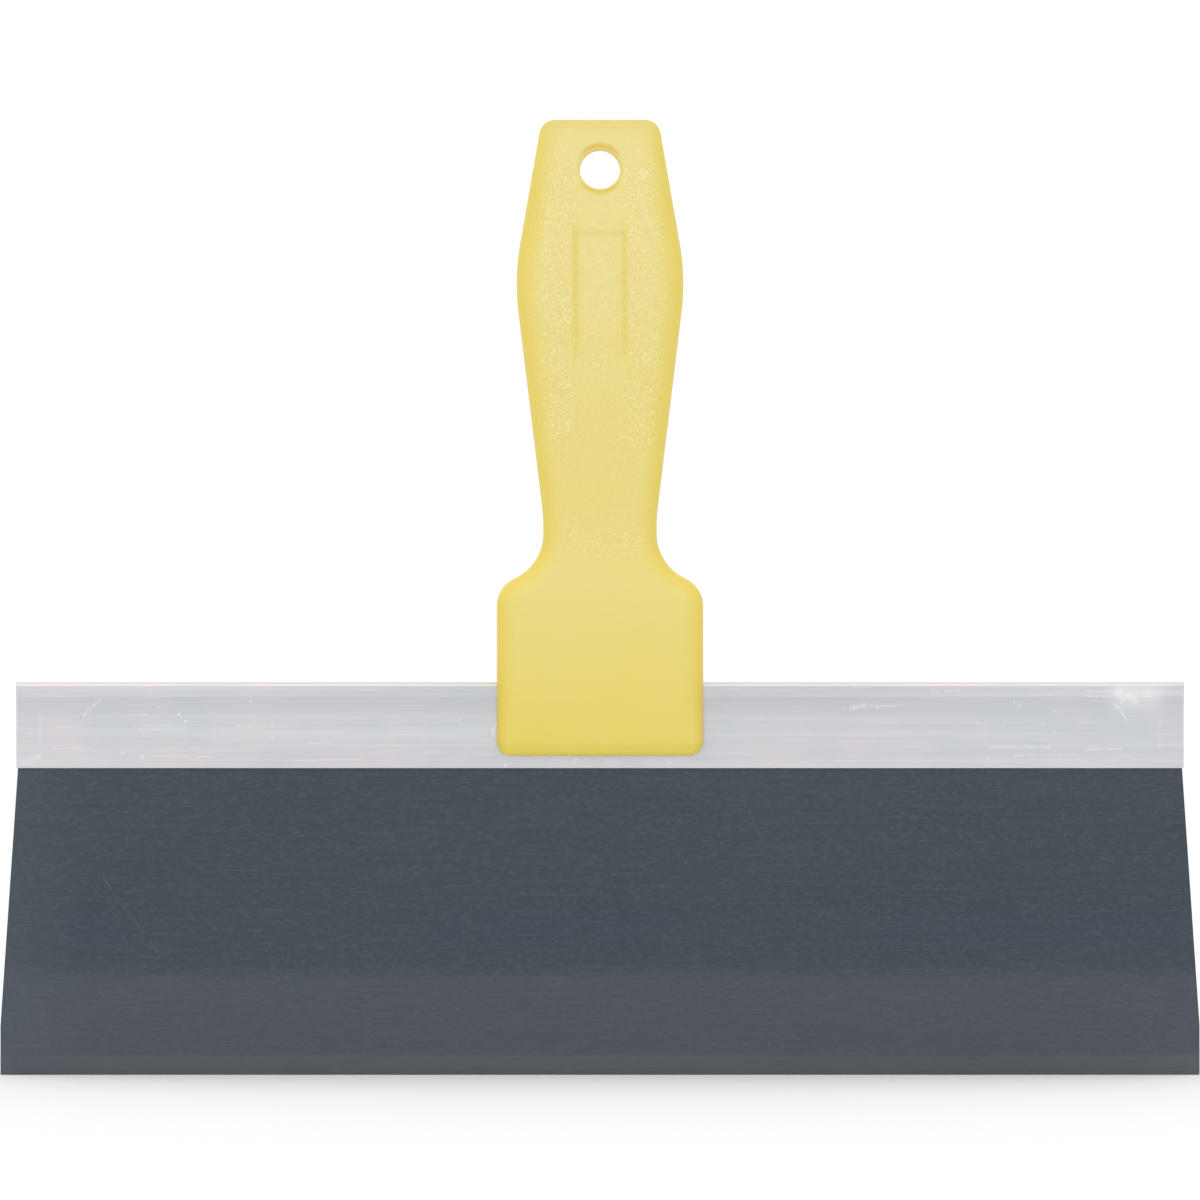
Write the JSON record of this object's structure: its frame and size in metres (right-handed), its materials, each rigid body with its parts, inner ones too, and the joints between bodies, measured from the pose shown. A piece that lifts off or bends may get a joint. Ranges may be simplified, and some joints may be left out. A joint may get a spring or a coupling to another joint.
{
  "type": "drywall taping knife",
  "caption": "Wide taping knife: blued spring-steel blade held in an extruded aluminium backing bar, with a moulded yellow plastic handle that has a hang hole.",
  "frame": {"origin": "middle of the blade's working edge, in the mid-plane of the blade", "axes": "+X along the working edge, +Z from the edge up the handle, front face towards -Y"},
  "size_m": [0.3048, 0.0204, 0.2426],
  "materials": {
    "blued_steel": "blued spring steel with a fine brushed grain along the blade",
    "extruded_aluminium": "mill-finish extrusion with die lines along its length and light scuffs",
    "handle_plastic": "pale yellow moulded plastic with a fine leather grain on the grip",
    "rivet_aluminium": "formed aluminium rivet",
    "rivet_steel": "bright zinc-plated steel drive rivet"
  },
  "bodies": {
    "root": {"blade": "blued_steel", "backing_bar": "extruded_aluminium", "handle": "handle_plastic", "blade_rivet_left_outer": "rivet_aluminium", "blade_rivet_left_middle": "rivet_aluminium", "blade_rivet_left_inner": "rivet_aluminium", "blade_rivet_right_inner": "rivet_aluminium", "blade_rivet_right_middle": "rivet_aluminium", "blade_rivet_right_outer": "rivet_aluminium", "handle_rivet_left": "rivet_steel", "handle_rivet_middle": "rivet_steel", "handle_rivet_right": "rivet_steel"}
  },
  "joints": []
}
